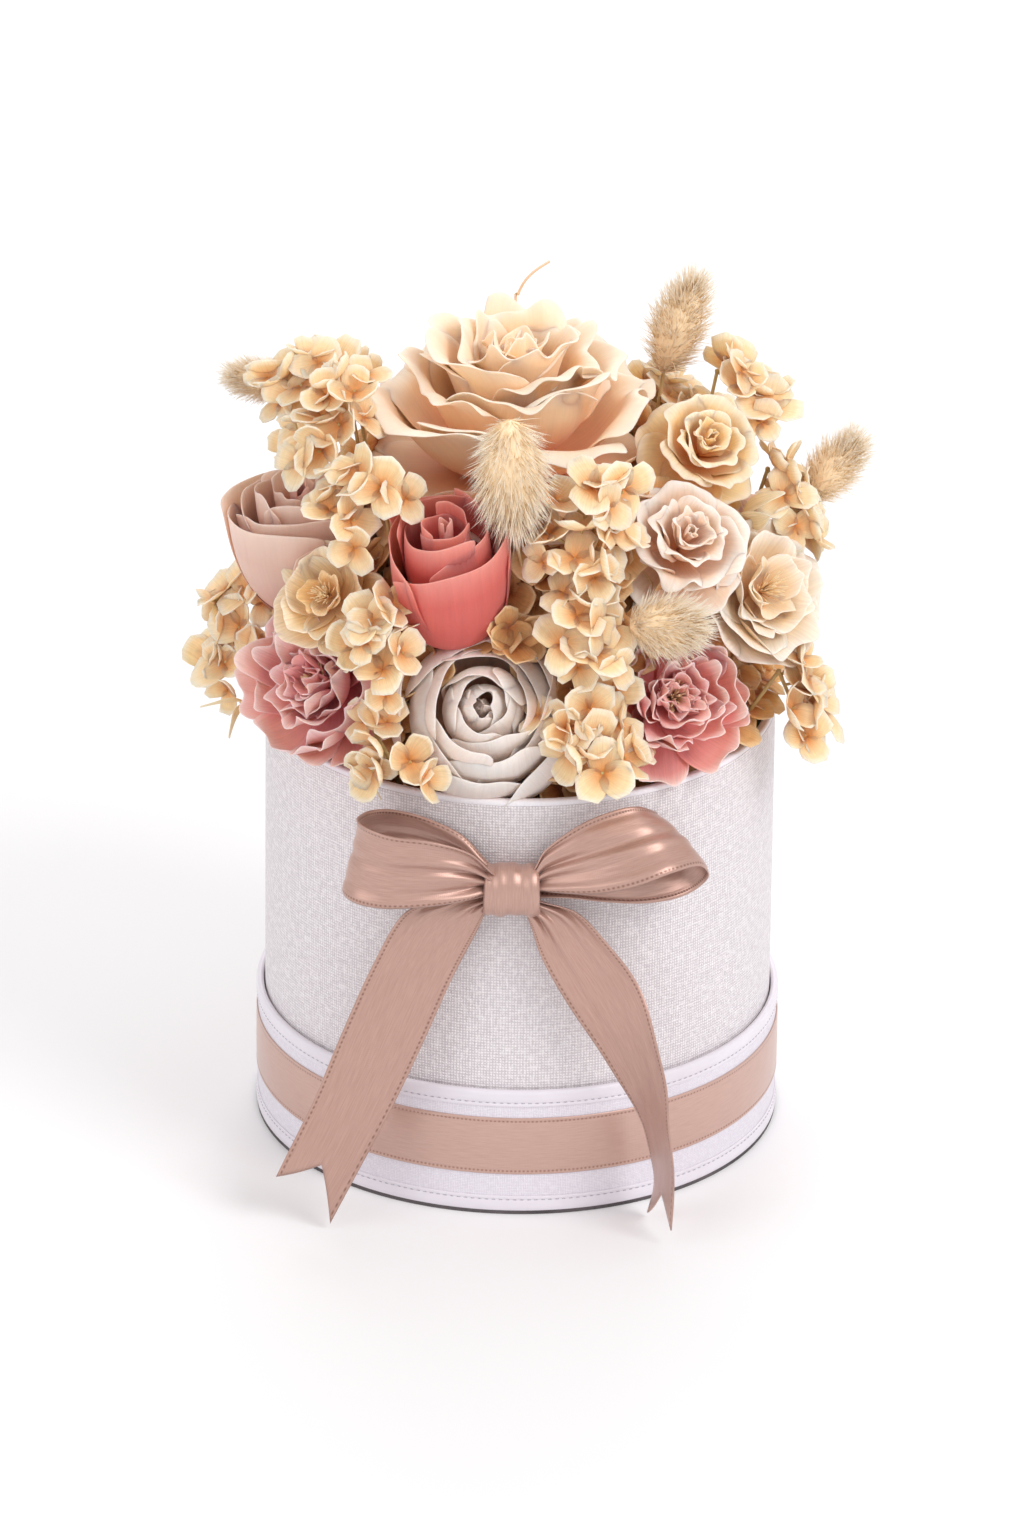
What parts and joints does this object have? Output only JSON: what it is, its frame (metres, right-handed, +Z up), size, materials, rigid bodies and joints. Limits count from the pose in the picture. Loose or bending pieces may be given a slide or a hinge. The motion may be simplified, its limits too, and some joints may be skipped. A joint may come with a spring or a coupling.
{
  "type": "flower box",
  "caption": "Round lidded gift box with a satin bow and an arrangement of preserved flowers on a foam insert; it stands in its own lid, and the box and the flowers lift out.",
  "frame": {"origin": "centre of the base, on the surface the box stands on", "axes": "+Z up; -Y is the front, where the bow is; +X to the right seen from the front"},
  "size_m": [0.209, 0.1799, 0.273],
  "materials": {
    "covered_board": "satin",
    "board": "matte",
    "lining_paper": "matte",
    "lid_paper": "satin",
    "edge_trim": "satin",
    "satin_ribbon": "satin",
    "embossed_paper": "satin",
    "rim_paper": "satin",
    "clear_liner": "gloss",
    "dry_foam": "matte",
    "taped_wire": "matte",
    "straw_stalk": "matte",
    "sprig_stem": "matte",
    "dried_leaf": "matte",
    "peach_petal": "matte",
    "coral_petal": "matte",
    "pearl_petal": "matte",
    "pink_petal": "matte",
    "rose_pink_petal": "matte",
    "mauve_petal": "matte",
    "blush_petal": "matte",
    "apricot_petal": "matte",
    "cream_petal": "matte",
    "straw_petal": "matte",
    "grass_head": "matte",
    "floret": "matte"
  },
  "bodies": {
    "lid": {"lid_floor": "covered_board", "lid_wall": "board", "lid_lining": "lining_paper", "lid_cover": "lid_paper", "lid_upper_trim": "edge_trim", "lid_lower_trim": "edge_trim", "lid_ribbon": "satin_ribbon"},
    "box": {"box_floor": "board", "box_wall": "board", "box_cover": "embossed_paper", "box_lining": "lining_paper", "rim_trim": "rim_paper", "bow_left_loop": "satin_ribbon", "bow_right_loop": "satin_ribbon", "bow_knot": "satin_ribbon", "bow_left_tail": "satin_ribbon", "bow_right_tail": "satin_ribbon"},
    "bouquet": {"foam_liner": "clear_liner", "foam_block": "dry_foam", "bloom_wires": "taped_wire", "grass_stalks": "straw_stalk", "sprig_stems": "sprig_stem", "leaf_left": "dried_leaf", "leaf_right": "dried_leaf", "tendril": "dried_leaf", "peach_rose": "peach_petal", "coral_rose": "coral_petal", "cream_ranunculus": "pearl_petal", "pink_peony_left": "pink_petal", "pink_peony_right": "rose_pink_petal", "mauve_rose": "mauve_petal", "blush_rose": "blush_petal", "apricot_bloom": "apricot_petal", "cream_bloom": "cream_petal", "speckled_bloom": "straw_petal", "back_left_rose": "blush_petal", "back_peony": "pink_petal", "back_ranunculus": "pearl_petal", "back_right_rose": "mauve_petal", "bunny_tail_front": "grass_head", "bunny_tail_top": "grass_head", "bunny_tail_right": "grass_head", "bunny_tail_low": "grass_head", "bunny_tail_left": "grass_head", "bunny_tail_back": "grass_head", "sprig_top_left": "floret", "sprig_crown_left": "floret", "sprig_front_left": "floret", "sprig_by_coral": "floret", "sprig_low_left": "floret", "sprig_rim_left": "floret", "sprig_centre": "floret", "sprig_mid_right": "floret", "sprig_rim_right": "floret", "sprig_top_right": "floret", "sprig_right": "floret", "sprig_low_right": "floret", "sprig_back_left": "floret", "sprig_back": "floret", "sprig_back_right": "floret"}
  },
  "joints": [
    {"name": "box_lift", "type": "slide", "parent": "lid", "child": "box", "axis": [0, 0, 1], "range_m": [0, 0.06]},
    {"name": "bouquet_lift", "type": "slide", "parent": "box", "child": "bouquet", "axis": [0, 0, 1], "range_m": [0, 0.16]}
  ]
}
